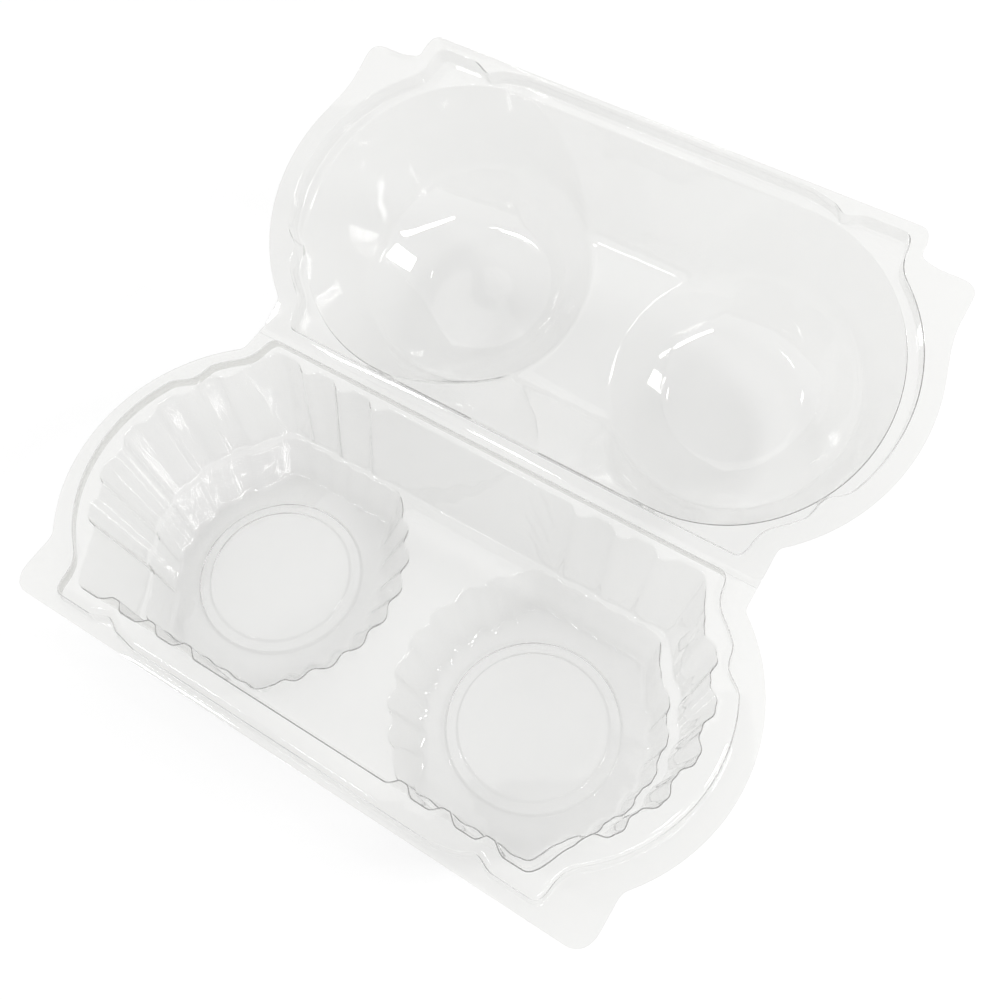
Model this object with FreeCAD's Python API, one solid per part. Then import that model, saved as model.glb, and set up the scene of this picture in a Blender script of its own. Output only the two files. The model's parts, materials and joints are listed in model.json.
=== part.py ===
import FreeCAD, Part
import math
import os

from FreeCAD import Vector

# Two-cup clamshell pack: one thermoformed clear sheet with a hinge line across its middle.
# The hinge line lies along X. The tray is at -Y and the lid at +Y.
# Each half is drawn flat at +Y, with its inside facing +Z, and is then put in place.

# Sheet, the play between the halves when the pack is closed, and each half's setback from the hinge
sheet = 0.5
rim_play = 0.35
hinge_play = 0.15
hinge_setback = 0.04

# Second crease, pressed into the tray's underside beside the hinge line
crease_offset = 2.4
crease_width = 0.6
crease_depth = 0.2

# Rim line: the tray's rim stands up along it, and the lid's channel fits over that rim
cup_pitch = 95.0
end_shift = 4.0
rim_back = 3.6
rim_front = 106.5
rim_radius = 49.8
rim_height = 5.6
rim_draft = 0.4
rim_waist_angle = 50.0
rim_corner_x = 79.5
rim_corner_radius = 4.0

# Snap pinches in the rim line, on the round ends and at the front
pinch_angle = 30.0
pinch_spread = 6.5
pinch_depth = 2.4
front_panel_x = 49.0
front_pinch_x = 61.0
front_pinch_width = 5.6
front_pinch_depth = 3.5
front_corner_step = 1.7

# Flange around the rim, with finger tabs at the opening edge
hinge_half = 87.0
flange_width = 6.6
front_lip = 1.8
tray_tab_x = 94.0
tray_tab_radius = 6.5
lid_tab_x = 101.5
lid_tab_y = 98.7
lid_tab_radius = 4.5
lid_edge_x = 84.0
lid_edge_radius = 5.0
lid_valley_x = 86.5

# Fluted mouth of the tray, at the top of the rim
mouth_back = 8.2
mouth_front = 99.5
mouth_radius = 46.1
mouth_corner_x = 75.5
flute_depth = 1.0
ridge_depth = 2.2

# The same walls where they meet the ledge and the saddle between the cups
saddle_depth = 26.3
saddle_back = 16.6
saddle_front = 94.8
saddle_radius = 39.8
saddle_corner_x = 71.0
saddle_flute_depth = 0.7
saddle_ridge_depth = 0.7

# Flute pattern of those walls
end_flutes = 5
end_flute_span = 95.0
ridge_count = 3
ridge_start = 32.0
ridge_width = 6.4
ridge_pitch = 12.9
wall_corner_radius = 3.5

# Lower cups, from the saddle down
cup_back = 18.2
cup_front = 93.7
cup_radius = 38.1
cup_saddle_radius = 41.6
cup_corner_x = 69.5
cup_inner_x = 23.0
cup_scallop_depth = 0.5

# Cup floors, with a pushed-up disc in each
floor_depth = 40.7
floor_back = 22.8
floor_front = 91.6
floor_radius = 34.6
floor_saddle_radius = 33.2
floor_corner_x = 68.0
floor_inner_x = 27.0
floor_scallop_depth = 0.5
back_scallops = 5
saddle_scallops = 7
disc_radius = 25.0
disc_height = 2.0
disc_draft = 2.0

# Lid domes, and the bridge between them
dome_shift = 0.9
dome_radius = 49.2
shoulder_depth = 41.4
shoulder_radius = 39.5
shoulder_bulge = 1.2
crown_radius = 22.5
crown_depth = 56.7
crown_rise = 1.1
bridge_half_width = 27.7

cup_x = cup_pitch / 2
end_x = cup_x + end_shift
end_y = (mouth_back + mouth_front) / 2
flange_radius = rim_radius + flange_width
flange_front = rim_front + front_lip
channel_depth = rim_height + rim_play
table_depth = floor_depth + sheet
dome_x = cup_x + dome_shift
dome_y = end_y


# An outline is a list of (x, y, bulge), anticlockwise seen from +Z.
# bulge is how far the edge that starts there stands outward; 0 is a straight edge.
def arc(centre_x, centre_y, radius, start, end, waves=1, wave_depth=0.0):
    step = math.radians(end - start) / waves
    rise = radius * (1 - math.cos(step / 2))
    run = []
    for i in range(waves + 1):
        angle = math.radians(start) + i * step
        bulge = rise + (wave_depth if i % 2 else -wave_depth)
        run.append((centre_x + radius * math.cos(angle), centre_y + radius * math.sin(angle), bulge))
    run[-1] = run[-1][:2] + (0.0,)
    return run


def straight_waves(x_start, x_end, y, waves, wave_depth):
    step = (x_end - x_start) / waves
    run = [(x_start + i * step, y, wave_depth if i % 2 else -wave_depth) for i in range(waves)]
    return run + [(x_end, y, 0.0)]


def back_corner(x, y, radius):
    return arc(x - radius, y + radius, radius, -90, 0)


def front_corner(x, y, radius):
    return arc(x - radius, y - radius, radius, 0, 90)


def both_sides(half):
    left = []
    for i, (x, y, _) in enumerate(half):
        left.append((-x, y, half[i - 1][2] if i else 0.0))
    return half + left[::-1]


def edge_shape(outline, i):
    x0, y0, bulge = outline[i]
    x1, y1, _ = outline[(i + 1) % len(outline)]
    length = math.hypot(x1 - x0, y1 - y0)
    outward = ((y1 - y0) / length, (x0 - x1) / length)
    middle = ((x0 + x1) / 2 + bulge * outward[0], (y0 + y1) / 2 + bulge * outward[1])
    return (x0, y0), middle, (x1, y1), outward, 2 * math.atan2(2 * bulge, length)


def turned(vector, angle):
    c, s = math.cos(angle), math.sin(angle)
    return vector[0] * c - vector[1] * s, vector[0] * s + vector[1] * c


# The same outline moved outward all round, with the corners mitred
def grown(outline, distance):
    edges = [edge_shape(outline, i) for i in range(len(outline))]
    corners = []
    for i, (start, _, _, outward, swing) in enumerate(edges):
        n1 = turned(edges[i - 1][3], edges[i - 1][4])
        n2 = turned(outward, -swing)
        share = distance / (1 + n1[0] * n2[0] + n1[1] * n2[1])
        corners.append((start[0] + share * (n1[0] + n2[0]), start[1] + share * (n1[1] + n2[1])))
    result = []
    for i, (_, middle, _, outward, _) in enumerate(edges):
        x0, y0 = corners[i]
        x1, y1 = corners[(i + 1) % len(corners)]
        to_x = middle[0] + distance * outward[0] - x0
        to_y = middle[1] + distance * outward[1] - y0
        bulge = (to_x * (y1 - y0) - to_y * (x1 - x0)) / math.hypot(x1 - x0, y1 - y0)
        result.append((x0, y0, bulge if outline[i][2] else 0.0))
    return result


def wire(outline, z):
    edges = []
    for i in range(len(outline)):
        start, middle, end, _, _ = edge_shape(outline, i)
        a, b = Vector(*start, z), Vector(*end, z)
        if outline[i][2]:
            edges.append(Part.Arc(a, Vector(*middle, z), b).toShape())
        else:
            edges.append(Part.LineSegment(a, b).toShape())
    return Part.Wire(edges)


def prism(outline, z_low, z_high):
    return Part.Face(wire(outline, z_low)).extrude(Vector(0, 0, z_high - z_low))


def taper(low, z_low, high, z_high):
    return Part.makeLoft([wire(low, z_low), wire(high, z_high)], True, True)


def rim_outline():
    pinch_low = -pinch_angle - pinch_spread
    pinch_high = -pinch_angle + pinch_spread
    ease = pinch_spread / 3
    pinched = rim_radius - pinch_depth
    corner_y = rim_front - front_corner_step
    half = back_corner(rim_corner_x, rim_back, rim_corner_radius)
    half += arc(end_x, end_y, rim_radius, -rim_waist_angle, pinch_low)
    half += arc(end_x, end_y, pinched, pinch_low + ease, pinch_high - ease)
    half += arc(end_x, end_y, rim_radius, pinch_high, rim_waist_angle)
    half += front_corner(rim_corner_x, corner_y, rim_corner_radius)
    for side in (1, -1):
        x = front_pinch_x + side * front_pinch_width / 2
        if side > 0:
            half.append((x + front_pinch_width / 2, corner_y, 0.0))
        half.append((x, rim_front - front_pinch_depth, 0.0))
    half.append((front_panel_x, rim_front, 0.0))
    return both_sides(half)


def flange_end(tab_x):
    hinge_angle = math.degrees(math.acos((hinge_half - end_x) / flange_radius))
    tab_angle = math.degrees(math.acos((tab_x - end_x) / flange_radius))
    back = [(hinge_half, hinge_setback, 0.0)]
    return back + arc(end_x, end_y, flange_radius, -hinge_angle, tab_angle)


def tray_flange():
    half = flange_end(tray_tab_x) + front_corner(tray_tab_x, flange_front, tray_tab_radius)
    return both_sides(half)


def lid_flange():
    half = flange_end(lid_tab_x) + front_corner(lid_tab_x, lid_tab_y, lid_tab_radius)
    half.append((lid_valley_x, (lid_tab_y + flange_front) / 2, 0.0))
    half += front_corner(lid_edge_x, flange_front, lid_edge_radius)
    return both_sides(half)


# Outline of the tray's fluted wall at one level
def wall_outline(back, front, radius, corner_x, flute, ridge):
    half_span = end_flute_span / 2
    ridges = []
    for i in range(ridge_count):
        x = ridge_start + i * ridge_pitch
        ridges += [(x, -ridge), (x + ridge_width, 0.0)]
    front_bulges = [-ridge if i % 2 == 0 else 0.0 for i in range(len(ridges))]
    half = [(x, back, bulge) for x, bulge in ridges]
    half += back_corner(corner_x, back, wall_corner_radius)
    waves = 2 * end_flutes + 1
    half += arc(cup_x, (back + front) / 2, radius, -half_span, half_span, waves, flute)
    half += front_corner(corner_x, front, wall_corner_radius)
    half += [(x, front, bulge) for (x, _), bulge in zip(ridges[::-1], front_bulges)]
    return both_sides(half)


def mouth():
    return wall_outline(mouth_back, mouth_front, mouth_radius, mouth_corner_x,
                        flute_depth, ridge_depth)


def saddle():
    return wall_outline(saddle_back, saddle_front, saddle_radius, saddle_corner_x,
                        saddle_flute_depth, saddle_ridge_depth)


# Outline of the right-hand lower cup at one level: scalloped all round
def cup_outline(back, front, radius, corner_x, inner_x, inner_radius, scallop):
    half_span = end_flute_span / 2
    centre_y = (back + front) / 2
    corner_start = corner_x - wall_corner_radius
    reach = math.degrees(math.acos((cup_x - inner_x) / inner_radius))
    straight = 2 * back_scallops + 1
    outline = straight_waves(inner_x, corner_start, back, straight, scallop)[:-1]
    outline += back_corner(corner_x, back, wall_corner_radius)
    outline += arc(cup_x, centre_y, radius, -half_span, half_span, 2 * end_flutes + 1, scallop)
    outline += front_corner(corner_x, front, wall_corner_radius)[:-1]
    outline += straight_waves(corner_start, inner_x, front, straight, scallop)
    inner_waves = 2 * saddle_scallops + 1
    outline += arc(cup_x, centre_y, inner_radius, 180 - reach, 180 + reach, inner_waves, scallop)
    return outline


def cup_top():
    return cup_outline(cup_back, cup_front, cup_radius, cup_corner_x, cup_inner_x,
                       cup_saddle_radius, cup_scallop_depth)


def cup_floor():
    return cup_outline(floor_back, floor_front, floor_radius, floor_corner_x, floor_inner_x,
                       floor_saddle_radius, floor_scallop_depth)


# Room above the tray's sheet when growth is 0, and above its underside when it is the sheet
def tray_hollow(growth):
    walls = taper(grown(saddle(), growth), -saddle_depth - growth, grown(mouth(), growth), rim_height)
    cup = taper(grown(cup_floor(), growth), -floor_depth - growth,
                grown(cup_top(), growth), -saddle_depth - growth)
    disc_bottom = -floor_depth - growth
    disc = Part.makeCone(disc_radius - growth, disc_radius - disc_draft - growth, disc_height,
                         Vector(cup_x, (floor_back + floor_front) / 2, disc_bottom))
    cup = cup.cut(disc)
    return walls.fuse([cup, mirrored(cup)])


def mirrored(shape):
    return shape.mirror(Vector(0, 0, 0), Vector(1, 0, 0))


# Everything under the tray's upper face, or under its lower face with growth set to the sheet
def below_tray(slab, growth):
    rim_low = grown(rim_outline(), -growth)
    rim_high = grown(rim_outline(), -growth - rim_draft)
    rim = taper(rim_low, -growth, rim_high, rim_height - growth)
    return slab.fuse(rim).cut(tray_hollow(growth))


def tray():
    under_depth = table_depth + sheet
    wide = 2 * flange_front
    block = prism(tray_flange(), -under_depth, 0)
    under = Part.makeBox(2 * wide, 2 * wide, under_depth, Vector(-wide, -wide / 2, -under_depth - sheet))
    crease = Part.makeBox(2 * wide, crease_width, crease_depth,
                          Vector(-wide, crease_offset - crease_width / 2, -sheet))
    solid = below_tray(block, 0).cut(below_tray(under, sheet)).cut(crease)
    return solid.mirror(Vector(0, 0, 0), Vector(0, 1, 0))


# Half section of a dome as (radius, height), from the middle of its crown up to the channel
def dome_section(growth):
    half = [(0.0, -crown_depth - crown_rise, crown_rise / 4),
            (crown_radius, -crown_depth, shoulder_bulge),
            (shoulder_radius, -shoulder_depth, 0.0), (dome_radius, -channel_depth, 0.0)]
    return grown(both_sides(half)[:-1], growth)[:len(half)]


# Section across the bridge as (y, height), from the channel down to the flat between the domes
def bridge_section(growth):
    low, high = bridge_half_width, dome_radius
    section = [(dome_y - low, -shoulder_depth, 0.0), (dome_y + low, -shoulder_depth, 0.0),
               (dome_y + high, -channel_depth, 0.0), (dome_y - high, -channel_depth, 0.0)]
    return grown(section, growth)


# Room above the lid's sheet when growth is 0, and above its underside when it is the sheet
def lid_hollow(growth):
    play = rim_play + growth
    channel = taper(grown(rim_outline(), play - rim_draft), -channel_depth - growth,
                    grown(rim_outline(), play), 0)
    section = dome_section(growth)
    axis_top = (0.0, section[-1][1], 0.0)
    profile = wire(section[:-1] + [section[-1][:2] + (0.0,), axis_top], 0)
    profile.rotate(Vector(0, 0, 0), Vector(1, 0, 0), 90)
    dome = Part.Face(profile).revolve(Vector(0, 0, 0), Vector(0, 0, 1), 360)
    dome.translate(Vector(dome_x, dome_y, 0))
    bridge = wire(bridge_section(growth), -dome_x)
    bridge.rotate(Vector(0, 0, 0), Vector(1, 1, 1), 120)
    bridge = Part.Face(bridge).extrude(Vector(2 * dome_x, 0, 0))
    return channel.fuse([dome, mirrored(dome), bridge])


# Angle at which the crown rings stand on the same table as the cup floors
def lid_tilt():
    ring_radius, ring_height, _ = dome_section(sheet)[1]
    reach = dome_y - ring_radius
    drop = hinge_play - ring_height
    return math.degrees(math.acos((table_depth + hinge_play) / math.hypot(reach, drop))
                        - math.atan2(reach, drop))


def lid():
    solid = prism(lid_flange(), -sheet, 0).fuse(lid_hollow(sheet)).cut(lid_hollow(0))
    solid.rotate(Vector(0, 0, hinge_play), Vector(1, 0, 0), lid_tilt())
    return solid


# The finished pack stands on z = 0, and its footprint is centred on the origin.
# The domes' shoulders are what reaches furthest on the lid's side.
tilt = math.radians(lid_tilt())
side_radius, side_height, _ = dome_section(sheet)[2]
lid_reach = (dome_y + side_radius) * math.cos(tilt) + (hinge_play - side_height) * math.sin(tilt)
placement = Vector(0, (flange_front - lid_reach) / 2, table_depth)
os.makedirs("parts", exist_ok=True)
for name, shape in (("base_tray", tray()), ("lid", lid())):
    shape.translate(placement)
    shape.exportStep("parts/" + name + ".step")
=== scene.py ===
import json
import math

import bmesh
import bpy
from mathutils import Matrix, Vector


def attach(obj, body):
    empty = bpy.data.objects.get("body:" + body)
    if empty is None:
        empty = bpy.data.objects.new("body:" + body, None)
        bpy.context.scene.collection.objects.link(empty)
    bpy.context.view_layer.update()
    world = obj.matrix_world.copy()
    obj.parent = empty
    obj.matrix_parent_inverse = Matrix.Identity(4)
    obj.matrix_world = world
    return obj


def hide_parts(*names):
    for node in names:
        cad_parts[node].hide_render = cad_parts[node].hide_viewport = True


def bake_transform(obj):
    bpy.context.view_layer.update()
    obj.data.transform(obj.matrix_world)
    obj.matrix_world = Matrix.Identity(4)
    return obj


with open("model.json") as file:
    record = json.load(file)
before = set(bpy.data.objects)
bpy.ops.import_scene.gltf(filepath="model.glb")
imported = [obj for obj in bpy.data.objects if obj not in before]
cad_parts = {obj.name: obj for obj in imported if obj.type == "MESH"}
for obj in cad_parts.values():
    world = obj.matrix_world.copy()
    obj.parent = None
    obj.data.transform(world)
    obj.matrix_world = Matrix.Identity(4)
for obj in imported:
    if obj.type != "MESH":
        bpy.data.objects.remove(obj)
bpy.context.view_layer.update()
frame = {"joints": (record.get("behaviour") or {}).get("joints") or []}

# The tray: two fluted cups side by side under one raised rim, vacuum formed from one clear sheet.
# Each fold line of the sheet is a closed loop of points, and the loops are bridged and rounded.
# Sizes are in millimetres, with y measured from the hinge line.
cup_x = 47.5
centre_y = 53.85
straight_steps = 56
end_steps = 240
out_of_reach, longest_ray, near_zero = 1000.0, 80.0, 0.01

flange_back, flange_front = 2.4, 108.3
flange_hinge_x, flange_tab_x = 87.0, 94.0
flange_end_x, flange_radius, flange_neck = 51.5, 56.4, 1.5
hinge_corner, tray_tab_corner = 1.0, 10.0

rim_back, rim_front, rim_front_step = 3.6, 106.5, 1.7
rim_corner_x, rim_radius, rim_corner = 79.5, 49.8, 6.0
rim_height, rim_draft, dish = 5.6, 0.8, 0.05
front_step_start, front_step_run = 48.0, 9.0
end_pinch_angle, end_pinch_width, end_pinch_depth = -30.5, 17.0, 2.4
front_pinch_x, front_pinch_width, front_pinch_depth = 61.0, 11.0, 1.9

mouth_back, mouth_front, mouth_corner_x, mouth_radius = 8.2, 99.5, 75.5, 46.1
saddle_back, saddle_front, saddle_corner_x, saddle_radius = 16.4, 95.0, 71.2, 40.2
saddle_depth, ledge_strip, wall_corner = 26.3, 0.46, 9.0
flute_pitch, flute_swing, flute_flatness, mouth_flute, saddle_flute = 17.27, 1.1, 0.2, 1.1, 0.6
flute_span, wave_fade = 49.0, 6.0
ridge_count, ridge_start, ridge_pitch, ridge_width, ridge_crown = 3, 35.2, 12.9, 8.6, 1.2
mouth_ridge, saddle_ridge = 2.4, 0.45

cup_steps = 320
cup_back, cup_front, cup_corner_x, cup_inner_x = 18.2, 93.2, 69.5, 23.0
cup_radius, cup_inner_radius, cup_corner = 37.9, 41.6, 7.0
floor_back, floor_front, floor_corner_x, floor_inner_x = 22.8, 91.6, 68.0, 27.0
floor_radius, floor_inner_radius = 34.6, 33.2
floor_depth, scallop_pitch, scallop_span = 40.7, 14.4, 52.0
top_scallop, floor_scallop, inner_scallop = 0.55, 0.7, 0.9
bead_offset, bead_pitch, bead_size, bead_start = 37.5, 7.8, 0.3, 58.0
disc_steps = ((26.5, 0.05), (25.9, 1.2), (22.9, 1.25), (22.3, 2.0))
foot_fold, rim_fold, mouth_fold, ledge_fold = 0.35, 1.6, 0.6, 0.38
floor_fold, disc_fold, fold_segments = 1.3, 0.25, 3


def soft_min(a, b, blend):
    overlap = max(blend - abs(a - b), 0.0) / blend
    return min(a, b) - overlap * overlap * blend / 4


def soft_max(a, b, blend):
    return -soft_min(-a, -b, blend)


def swell(distance, width):
    return math.cos(math.pi * distance / width) ** 2 if abs(distance) < width / 2 else 0.0


def ramp(distance, run):
    return min(max(distance / run, 0.0), 1.0)


def flute(angle):
    turn = math.radians(360 * angle / flute_pitch)
    wave = math.cos(turn) - flute_flatness * math.cos(3 * turn)
    return ramp(flute_span - abs(angle), wave_fade) * flute_swing * wave


def beads(angle):
    along = bead_offset / math.tan(math.radians(abs(angle)))
    return ramp(abs(angle) - bead_start, wave_fade) * math.cos(2 * math.pi * along / bead_pitch)


def ridge(x):
    starts = [ridge_start + i * ridge_pitch for i in range(ridge_count)]
    return sum(min(ridge_crown * swell(abs(x) - start, ridge_width), 1.0) for start in starts)


# Each ray starts on the line between the cup centres and points outwards: (start x, cos, sin)
half = [(cup_x * i / straight_steps, 0.0, -1.0) for i in range(straight_steps)]
for i in range(end_steps + 1):
    angle = math.radians(180 * i / end_steps - 90)
    half.append((cup_x, math.cos(angle), math.sin(angle)))
half += [(cup_x - cup_x * (i + 1) / straight_steps, 0.0, 1.0) for i in range(straight_steps)]
rays = half + [(-x, -c, s) for x, c, s in half[-2:0:-1]]


# How far a ray goes before it meets a long wall, a side wall or a round end
def reach(ray, wall, side_x, end_x, radius, blend, corner=None):
    x, c, s = abs(ray[0]), abs(ray[1]), ray[2]
    angle = math.degrees(math.atan2(s, c))
    straight = out_of_reach
    if abs(s) > near_zero:
        straight = wall(x, s) / abs(s)
        straight = wall(x + min(straight, longest_ray) * c, s) / abs(s)
    side = (side_x(s) - x) / c if c > near_zero else out_of_reach
    inside = radius(angle) ** 2 - ((x - end_x) * s) ** 2
    ring = (end_x - x) * c + math.sqrt(max(inside, 0.0)) if c > near_zero else 0.0
    return soft_min(straight, soft_max(side, ring, blend), corner(s) if corner else blend)


def ring_of(mesh, height, *outlines, grow=0.0):
    points = []
    for ray in rays:
        far = reach(ray, *outlines[0]) + grow
        for outline in outlines[1:]:
            far = soft_max(far, reach(ray, *outline), tab_fillet)
        points.append(mesh.verts.new((ray[0] + ray[1] * far, centre_y + ray[2] * far, height)))
    return [mesh.edges.new((points[i - 1], points[i])) for i in range(len(points))]


def flange_wall(x, s):
    return centre_y - flange_back if s < 0 else flange_front - centre_y


def rim_wall(x, s):
    if s < 0:
        return centre_y - rim_back
    step = rim_front_step * ramp(x - front_step_start, front_step_run)
    pinch = front_pinch_depth * swell(x - front_pinch_x, front_pinch_width)
    return rim_front - centre_y - step - pinch


def rim_ring(angle):
    return rim_radius - end_pinch_depth * swell(angle - end_pinch_angle, end_pinch_width)


def mouth_wall(x, s):
    return (mouth_front - mouth_back) / 2 - mouth_ridge * ridge(x)


def saddle_wall(x, s):
    side = centre_y - saddle_back if s < 0 else saddle_front - centre_y
    return side - saddle_ridge * ridge(x)


def cup_ring(mesh, side, height, back, front, corner_x, inner_x, radius, inner_radius,
             scallop, grow=0.0):
    points = []
    for i in range(cup_steps):
        angle = 2 * math.pi * i / cup_steps
        c, s = math.cos(angle), math.sin(angle)
        middle = (back + front) / 2
        straight = (front - back) / 2 / max(abs(s), near_zero)
        across = (corner_x - cup_x if c > 0 else cup_x - inner_x) / max(abs(c), near_zero)
        round_wall = radius if c > 0 else inner_radius
        far = soft_min(straight, soft_max(across, round_wall, cup_corner), cup_corner)
        turn = math.degrees(math.atan2(s, abs(c)))
        wave, size = flute(turn), scallop
        if c <= 0:
            wave = math.cos(math.radians(360 * turn / scallop_pitch))
            wave, size = ramp(scallop_span - abs(turn), wave_fade) * wave, inner_scallop
        far += grow + size * wave + bead_size * beads(turn or 0.1)
        points.append(mesh.verts.new((side * (cup_x + c * far), middle + s * far, height)))
    return [mesh.edges.new((points[i - 1], points[i])) for i in range(cup_steps)]


def bridge(mesh, *rings):
    for outer, inner in zip(rings, rings[1:]):
        bmesh.ops.bridge_loops(mesh, edges=outer + inner)


def round_fold(mesh, ring, radius):
    bmesh.ops.bevel(mesh, geom=ring, offset=radius, offset_type="OFFSET", segments=fold_segments,
                    affect="EDGES", profile=0.5, material=-1)


# From millimetres to its place in the pack, with the faces on the food's side
def set_in_place(mesh, place):
    bmesh.ops.transform(mesh, matrix=place @ Matrix.Scale(0.001, 4), verts=mesh.verts)
    bmesh.ops.remove_doubles(mesh, verts=mesh.verts, dist=0.00001)
    bmesh.ops.recalc_face_normals(mesh, faces=mesh.faces)
    if sum(face.normal.z * face.calc_area() for face in mesh.faces) < 0:
        bmesh.ops.reverse_faces(mesh, faces=mesh.faces)


def formed_sheet(name, mesh):
    for face in mesh.faces:
        face.smooth = True
    data = bpy.data.meshes.new(name)
    mesh.to_mesh(data)
    mesh.free()
    data.materials.append(clear_sheet)
    made = bpy.data.objects.new(name, data)
    bpy.context.collection.objects.link(made)
    wall = made.modifiers.new("sheet", "SOLIDIFY")
    wall.thickness = sheet_thickness
    wall.offset = -1.0
    flat = made.modifiers.new("flat_faces", "WEIGHTED_NORMAL")
    flat.weight = 80
    return made


# The clear sheet: glossy, slightly rippled and a little hazy, and nearly without refraction.
# Shadows and bounced light pass straight through it, dimmer where it is met edge-on.
sheet_thickness = 0.0003
sheet_colour = (0.88, 0.88, 0.868, 1.0)
sheet_clearness = 0.93
shadow_facing, shadow_edge_on = (0.965, 0.965, 0.965, 1.0), (0.77, 0.77, 0.77, 1.0)

clear_sheet = bpy.data.materials.new("clear sheet")
clear_sheet.use_nodes = True
nodes, links = clear_sheet.node_tree.nodes, clear_sheet.node_tree.links
plastic = nodes["Principled BSDF"]
plastic.inputs["Base Color"].default_value = sheet_colour
plastic.inputs["Roughness"].default_value = 0.03
plastic.inputs["IOR"].default_value = 1.12
plastic.inputs["Coat Weight"].default_value = 1.0
plastic.inputs["Coat Roughness"].default_value = 0.03
plastic.inputs["Coat IOR"].default_value = 1.5
plastic.inputs["Transmission Weight"].default_value = sheet_clearness
place = nodes.new("ShaderNodeTexCoord")
ripple = nodes.new("ShaderNodeTexNoise")
ripple.inputs["Scale"].default_value = 55.0
ripple.inputs["Detail"].default_value = 0.6
dent = nodes.new("ShaderNodeBump")
dent.inputs["Strength"].default_value = 0.3
dent.inputs["Distance"].default_value = 0.0006
links.new(place.outputs["Object"], ripple.inputs["Vector"])
links.new(ripple.outputs["Fac"], dent.inputs["Height"])
links.new(dent.outputs["Normal"], plastic.inputs["Normal"])
links.new(dent.outputs["Normal"], plastic.inputs["Coat Normal"])
pass_light = nodes.new("ShaderNodeBsdfTransparent")
slant = nodes.new("ShaderNodeLayerWeight")
slant.inputs["Blend"].default_value = 0.35
shade = nodes.new("ShaderNodeMix")
shade.data_type = "RGBA"
shade.inputs["A"].default_value = shadow_facing
shade.inputs["B"].default_value = shadow_edge_on
ray = nodes.new("ShaderNodeLightPath")
shadowed = nodes.new("ShaderNodeMath")
shadowed.operation = "MULTIPLY"
links.new(slant.outputs["Facing"], shadowed.inputs[0])
links.new(shadowed.outputs["Value"], shade.inputs["Factor"])
links.new(shade.outputs["Result"], pass_light.inputs["Color"])
either = nodes.new("ShaderNodeMixShader")
deep = nodes.new("ShaderNodeMath")
deep.operation = "GREATER_THAN"
deep.inputs[1].default_value = 5.0
plain = nodes.new("ShaderNodeMath")
plain.operation = "MAXIMUM"
bounced = nodes.new("ShaderNodeMath")
bounced.operation = "MAXIMUM"
links.new(ray.outputs["Ray Depth"], deep.inputs[0])
links.new(ray.outputs["Is Shadow Ray"], bounced.inputs[0])
links.new(ray.outputs["Is Diffuse Ray"], bounced.inputs[1])
links.new(bounced.outputs["Value"], shadowed.inputs[1])
links.new(bounced.outputs["Value"], plain.inputs[0])
links.new(deep.outputs["Value"], plain.inputs[1])
links.new(plain.outputs["Value"], either.inputs["Fac"])
links.new(plastic.outputs["BSDF"], either.inputs[1])
links.new(pass_light.outputs["BSDF"], either.inputs[2])
links.new(either.outputs["Shader"], nodes["Material Output"].inputs["Surface"])

# Each outline: its long wall, side, round end and that end's radius, then how much its corners
# are rounded, and last the corners of its tabs where these are rounded more
flange_line = (flange_wall, lambda s: flange_hinge_x if s < 0 else flange_tab_x,
               flange_end_x, lambda a: flange_radius, flange_neck,
               lambda s: hinge_corner if s < 0 else tray_tab_corner)
rim_line = (rim_wall, lambda s: rim_corner_x, flange_end_x, rim_ring, rim_corner)
mouth_line = (mouth_wall, lambda s: mouth_corner_x, cup_x,
              lambda a: mouth_radius + mouth_flute * flute(a), wall_corner)
ledge_line = (saddle_wall, lambda s: saddle_corner_x, cup_x,
              lambda a: saddle_radius + saddle_flute * flute(a), wall_corner)

tray_mesh = bmesh.new()
flange = ring_of(tray_mesh, 0.0, flange_line)
rim_foot = ring_of(tray_mesh, dish, rim_line)
rim_top = ring_of(tray_mesh, rim_height, rim_line, grow=-rim_draft)
mouth = ring_of(tray_mesh, rim_height - dish, mouth_line)
ledge = ring_of(tray_mesh, dish - saddle_depth, ledge_line)
strip = ring_of(tray_mesh, -saddle_depth, ledge_line, grow=-ledge_strip)
bridge(tray_mesh, flange, rim_foot, rim_top, mouth, ledge, strip)
folds = [(rim_foot, foot_fold), (rim_top, rim_fold), (mouth, mouth_fold), (ledge, ledge_fold)]
saddle_edges = list(strip)
for side in (1, -1):
    top = (cup_back, cup_front, cup_corner_x, cup_inner_x, cup_radius,
           cup_inner_radius, top_scallop)
    base = (floor_back, floor_front, floor_corner_x, floor_inner_x, floor_radius,
            floor_inner_radius, floor_scallop)
    cup_edge = cup_ring(tray_mesh, side, -saddle_depth, *top, grow=ledge_strip)
    cup_top = cup_ring(tray_mesh, side, -saddle_depth - dish, *top)
    floor_edge = cup_ring(tray_mesh, side, -floor_depth, *base)
    rings = [cup_edge, cup_top, floor_edge]
    for radius, height in disc_steps:
        middle = (side * cup_x, (floor_back + floor_front) / 2, height - floor_depth)
        made = bmesh.ops.create_circle(tray_mesh, segments=cup_steps, radius=radius,
                                       matrix=Matrix.Translation(middle))
        edges = [edge for vert in made["verts"] for edge in vert.link_edges]
        rings.append(list(dict.fromkeys(edges)))
    bridge(tray_mesh, *rings)
    bmesh.ops.contextual_create(tray_mesh, geom=rings[-1])
    folds += [(cup_top, ledge_fold), (floor_edge, floor_fold)]
    folds += [(step, disc_fold) for step in rings[3:]]
    saddle_edges += cup_edge
bmesh.ops.triangle_fill(tray_mesh, use_beauty=True, use_dissolve=False, edges=saddle_edges)
bmesh.ops.recalc_face_normals(tray_mesh, faces=tray_mesh.faces)
for ring, radius in folds:
    round_fold(tray_mesh, ring, radius)

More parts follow.
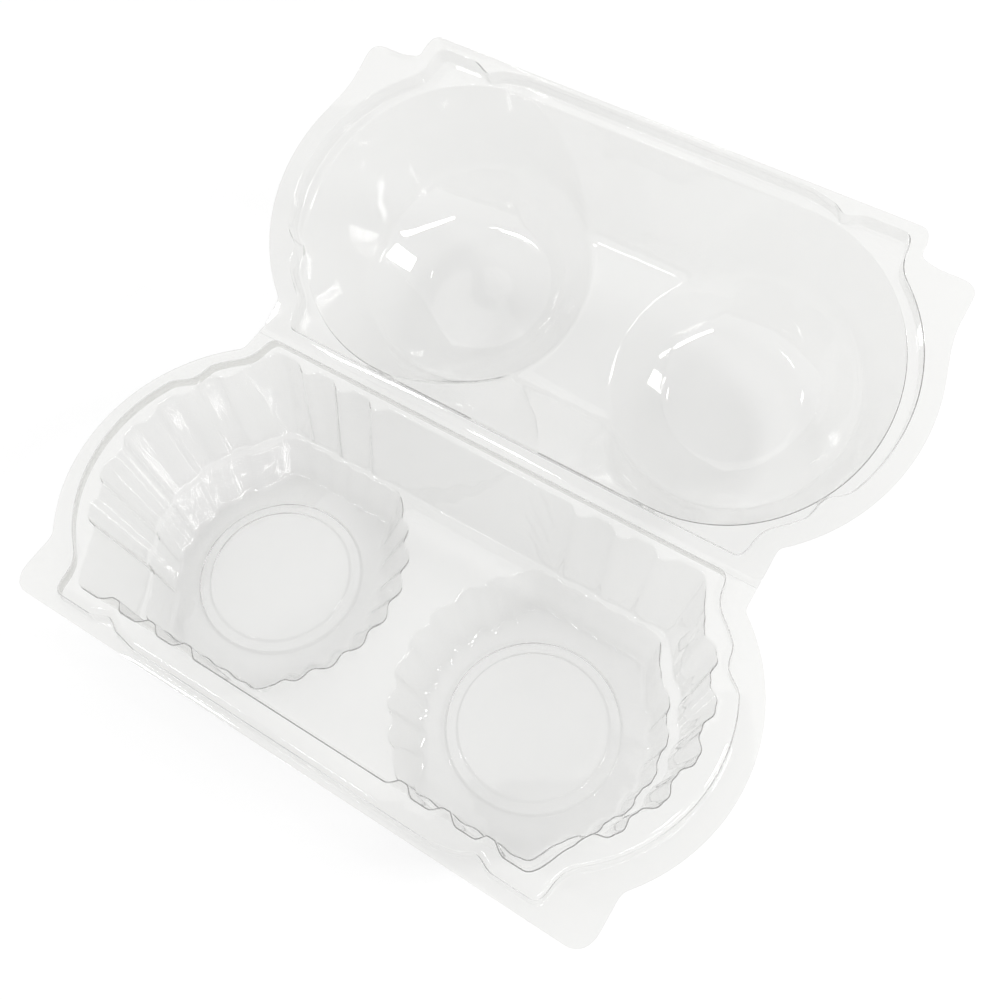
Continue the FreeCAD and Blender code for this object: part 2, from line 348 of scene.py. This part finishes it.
hinge = frame["joints"][0]
hinge_point = Vector(hinge["pos_m"])
hinge_play = 0.00015
tray_place = (Matrix.Translation(hinge_point - Vector((0, 0, hinge_play)))
              @ Matrix.Diagonal((1, -1, 1, 1)))
set_in_place(tray_mesh, tray_place)
tray = formed_sheet("fluted_tray", tray_mesh)
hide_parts("base_tray")
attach(tray, "tray")

# The lid: two domes joined by a bridge, with a channel around them that snaps over the tray's rim.
# It is formed in the same sheet as the tray. Each half is built from rings around its dome's middle.
lid_tab_x, lid_tab_y, lid_edge_x = 101.5, 98.7, 84.0
tab_fillet, lid_tab_corner, lid_edge_corner = 4.0, 7.0, 7.5
rim_play, channel_depth = 0.35, 5.95
dome_x, dome_radius = 48.4, 49.2
shoulder_radius, shoulder_depth, shoulder_bulge = 39.5, 41.4, 1.6
crown_radius, crown_depth, crown_rise = 22.5, 56.7, 1.1
shoulder_fold, shoulder_end = 0.8, 2.0
bridge_half_width, bridge_fold, seam_fold = 27.7, 1.6, 1.2
edge_fold, channel_fold, dome_fold = 0.4, 0.33, 0.36
outer_steps, seam_steps, wall_steps = 176, 56, 14
crown_rows = (6.0, 12.0, 17.0, 20.0, 21.3, 22.2, 23.1, 24.5, 27.0, 30.0, 33.5, 37.0, 38.4, 39.5)


def dome_depth(r):
    if r < crown_radius:
        return crown_depth + crown_rise * (1 - (r / crown_radius) ** 2)
    if r < shoulder_radius:
        part = (r - crown_radius) / (shoulder_radius - crown_radius)
        return (crown_depth + (shoulder_depth - crown_depth) * part
                + 4 * shoulder_bulge * part * (1 - part))
    slope = (shoulder_depth - channel_depth) / (dome_radius - shoulder_radius)
    return shoulder_depth - (r - shoulder_radius) * slope


def lid_depth(r, c, y):
    before, after = dome_depth(abs(r - shoulder_fold)), dome_depth(r + shoulder_fold)
    dome = (before + 2 * dome_depth(r) + after) / 4
    if r > dome_radius - shoulder_end:
        dome = dome_depth(r)
    slope = (shoulder_depth - channel_depth) / (dome_radius - bridge_half_width)
    past = abs(y) - bridge_half_width
    panel = shoulder_depth - (past + math.sqrt(past * past + bridge_fold * bridge_fold)) / 2 * slope
    return max(soft_max(dome, panel, seam_fold) if c < 0 else dome, channel_depth)


# Angles around the dome, with a point where the bridge's wall meets the middle of the pack
seam_angle = math.atan2(dome_radius, -dome_x)
turns = [seam_angle * i / outer_steps for i in range(-outer_steps, outer_steps + 1)]
turns += [seam_angle + (math.pi - seam_angle) * i / seam_steps for i in range(1, 2 * seam_steps)]


def dome_edge_at(c, s):
    if c > 0:
        return dome_radius
    wall = dome_radius / abs(s) if abs(s) > near_zero else out_of_reach
    seam = dome_x / -c if c < -near_zero else out_of_reach
    return min(wall, seam)


def dome_ring(mesh, radius, share=0.0):
    points = []
    for turn in turns:
        c, s = math.cos(turn), math.sin(turn)
        far = radius + (dome_edge_at(c, s) - radius) * share
        depth = lid_depth(far, c, s * far)
        points.append(mesh.verts.new((dome_x + c * far, centre_y + s * far, -depth)))
    return [mesh.edges.new((points[i - 1], points[i])) for i in range(len(points))]


lid_mesh = bmesh.new()
rings = [dome_ring(lid_mesh, radius) for radius in crown_rows]
rings += [dome_ring(lid_mesh, shoulder_radius, (i + 1) / wall_steps) for i in range(wall_steps)]
bmesh.ops.contextual_create(lid_mesh, geom=rings[0])
bridge(lid_mesh, *rings)
bmesh.ops.mirror(lid_mesh, geom=lid_mesh.verts[:] + lid_mesh.edges[:] + lid_mesh.faces[:],
                 axis="X", merge_dist=0.0001)
bmesh.ops.remove_doubles(lid_mesh, verts=lid_mesh.verts, dist=0.001)
dome_edge = [edge for edge in lid_mesh.edges if edge.is_boundary]


# The lid's outline is its own line and the tabs' line together, and only the tabs stand out of it
lid_line = (lambda x, s: centre_y if s < 0 else flange_front - centre_y,
            lambda s: flange_hinge_x if s < 0 else lid_edge_x,
            flange_end_x, lambda a: flange_radius, flange_neck,
            lambda s: hinge_corner if s < 0 else lid_edge_corner)
tab_line = (lambda x, s: 0.0 if s < 0 else lid_tab_y - centre_y, lambda s: lid_tab_x,
            flange_end_x, lambda a: flange_radius - tab_fillet, flange_neck,
            lambda s: lid_tab_corner)
lid_flange = ring_of(lid_mesh, 0.0, lid_line, tab_line)
channel_edge = ring_of(lid_mesh, -dish, rim_line, grow=rim_play)
channel_floor = ring_of(lid_mesh, dish - channel_depth, rim_line, grow=rim_play - rim_draft)
bridge(lid_mesh, lid_flange, channel_edge, channel_floor, dome_edge)
bmesh.ops.recalc_face_normals(lid_mesh, faces=lid_mesh.faces)
folds = [(channel_edge, edge_fold), (channel_floor, channel_fold), (dome_edge, dome_fold)]
for ring, radius in folds:
    round_fold(lid_mesh, ring, radius)

lid_tilt = math.radians(-hinge["range_deg"][0])
lid_place = (Matrix.Translation(hinge_point) @ Matrix.Rotation(lid_tilt, 4, "X")
             @ Matrix.Translation((0, 0, -hinge_play)))
set_in_place(lid_mesh, lid_place)
lid = formed_sheet("domed_lid", lid_mesh)
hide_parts("lid")
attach(lid, "lid")

# The hinge: a narrow arched band of the same sheet between two pressed creases.
# It joins the tray's back flange to the lid's, and keeps one fixed shape as the lid turns.
band_mesh = bmesh.new()
band_section = ((2.4, 0.0), (1.2, 0.12), (-0.05, 0.0), (-0.2, -0.42), (1.2, -0.36), (2.4, -0.5))
corners = [band_mesh.verts.new((-flange_hinge_x, y, z)) for y, z in band_section]
end_face = band_mesh.faces.new(corners)
run = bmesh.ops.extrude_face_region(band_mesh, geom=[end_face])
moved = [part for part in run["geom"] if isinstance(part, bmesh.types.BMVert)]
bmesh.ops.translate(band_mesh, verts=moved, vec=(2 * flange_hinge_x, 0, 0))
bmesh.ops.transform(band_mesh, matrix=tray_place @ Matrix.Scale(0.001, 4), verts=band_mesh.verts)
bmesh.ops.recalc_face_normals(band_mesh, faces=band_mesh.faces)
band_data = bpy.data.meshes.new("hinge_band")
band_mesh.to_mesh(band_data)
band_mesh.free()
band_data.materials.append(clear_sheet)
hinge_band = bpy.data.objects.new("hinge_band", band_data)
bpy.context.collection.objects.link(hinge_band)
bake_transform(hinge_band)

# The table: a plain white surface that the cups and the domes stand on.
# A weak glow keeps it white in the picture, around the pack's soft shadow.
floor_mesh = bmesh.new()
bmesh.ops.create_grid(floor_mesh, x_segments=1, y_segments=1, size=3.0)
floor_data = bpy.data.meshes.new("table")
floor_mesh.to_mesh(floor_data)
floor_mesh.free()
table_colour = (0.9, 0.9, 0.9, 1.0)
table_glow, far_glow = 0.24, 0.75
glow_start, glow_end = 0.3, 1.8
table_finish = bpy.data.materials.new("white table")
table_finish.use_nodes = True
nodes, links = table_finish.node_tree.nodes, table_finish.node_tree.links
board = nodes["Principled BSDF"]
board.inputs["Base Color"].default_value = table_colour
board.inputs["Roughness"].default_value = 0.9
board.inputs["Specular IOR Level"].default_value = 0.1
seen = nodes.new("ShaderNodeLightPath")
direct, through = nodes.new("ShaderNodeMath"), nodes.new("ShaderNodeMath")
direct.operation, through.operation = "MAXIMUM", "MAXIMUM"
lift = nodes.new("ShaderNodeMath")
lift.operation = "MULTIPLY"
spot = nodes.new("ShaderNodeTexCoord")
away = nodes.new("ShaderNodeVectorMath")
away.operation = "LENGTH"
glow = nodes.new("ShaderNodeMapRange")
glow.inputs["From Min"].default_value = glow_start
glow.inputs["From Max"].default_value = glow_end
glow.inputs["To Min"].default_value = table_glow
glow.inputs["To Max"].default_value = far_glow
links.new(spot.outputs["Object"], away.inputs[0])
links.new(away.outputs["Value"], glow.inputs["Value"])
links.new(glow.outputs["Result"], lift.inputs[1])
links.new(seen.outputs["Is Camera Ray"], direct.inputs[0])
links.new(seen.outputs["Is Glossy Ray"], direct.inputs[1])
links.new(direct.outputs["Value"], through.inputs[0])
links.new(seen.outputs["Is Transmission Ray"], through.inputs[1])
links.new(through.outputs["Value"], lift.inputs[0])
links.new(lift.outputs["Value"], board.inputs["Emission Strength"])
board.inputs["Emission Color"].default_value = (1.0, 1.0, 1.0, 1.0)
floor_data.materials.append(table_finish)
table = bpy.data.objects.new("table", floor_data)
bpy.context.collection.objects.link(table)

# Studio light: a large softbox behind the lid on the left, five small lamps, and a pale room.
# The room is white where it is seen or mirrored, and grey where it lights the pack.
room = bpy.data.worlds.new("studio")
bpy.context.scene.world = room
room.use_nodes = True
nodes, links = room.node_tree.nodes, room.node_tree.links
room_white, room_light = (1.0, 1.0, 1.0, 1.0), (0.35, 0.35, 0.35, 1.0)
sky = nodes["Background"]
sky.inputs["Strength"].default_value = 1.0
shown = nodes.new("ShaderNodeLightPath")
walls = nodes.new("ShaderNodeMix")
walls.data_type = "RGBA"
walls.inputs["A"].default_value = room_white
walls.inputs["B"].default_value = room_light
links.new(shown.outputs["Is Diffuse Ray"], walls.inputs["Factor"])
links.new(walls.outputs["Result"], sky.inputs["Color"])


pack_middle = (0, 0, 0.03)


def softbox(name, place, size, power):
    lamp = bpy.data.lights.new(name, "AREA")
    lamp.shape = "RECTANGLE"
    lamp.size, lamp.size_y = size
    lamp.energy = power
    made = bpy.data.objects.new(name, lamp)
    made.location = place
    aim = Vector(pack_middle) - Vector(place)
    made.rotation_euler = aim.to_track_quat("-Z", "Y").to_euler()
    bpy.context.collection.objects.link(made)
    return made


def towards(azimuth, height, distance):
    turn, rise = math.radians(azimuth), math.radians(height)
    flat = math.cos(rise) * distance
    return (flat * math.cos(turn), flat * math.sin(turn), math.sin(rise) * distance)


key = softbox("key softbox", towards(140, 58, 1.5), (1.2, 1.2), 5.0)
key.visible_glossy = False
side = softbox("side lamp", towards(18, 37, 1.2), (0.26, 0.3), 4.0)
top = softbox("top lamp", towards(10, 72, 1.2), (0.1, 0.1), 1.0)
front = softbox("front lamp", towards(-150, 59, 1.2), (0.05, 0.2), 1.0)
strip = softbox("strip lamp", towards(-25, 30, 1.3), (1.1, 0.06), 3.5)
near = softbox("near lamp", towards(-122, 59, 1.2), (0.16, 0.05), 0.6)

# Camera: above the right-hand front corner of the tray, as in the photograph.
# Its place and lens are fitted to the lines of the flange, the rim and the cups' floors.
camera_data = bpy.data.cameras.new("camera")
camera_data.lens = 39.15
camera_data.sensor_width = 36.0
camera = bpy.data.objects.new("camera", camera_data)
camera.location = (0.1024, -0.1312, 0.3169)
camera.rotation_euler = (math.radians(28.36), math.radians(2.81), math.radians(32.09))
bpy.context.collection.objects.link(camera)
bpy.context.scene.camera = camera
bpy.context.scene.view_settings.view_transform = "Standard"
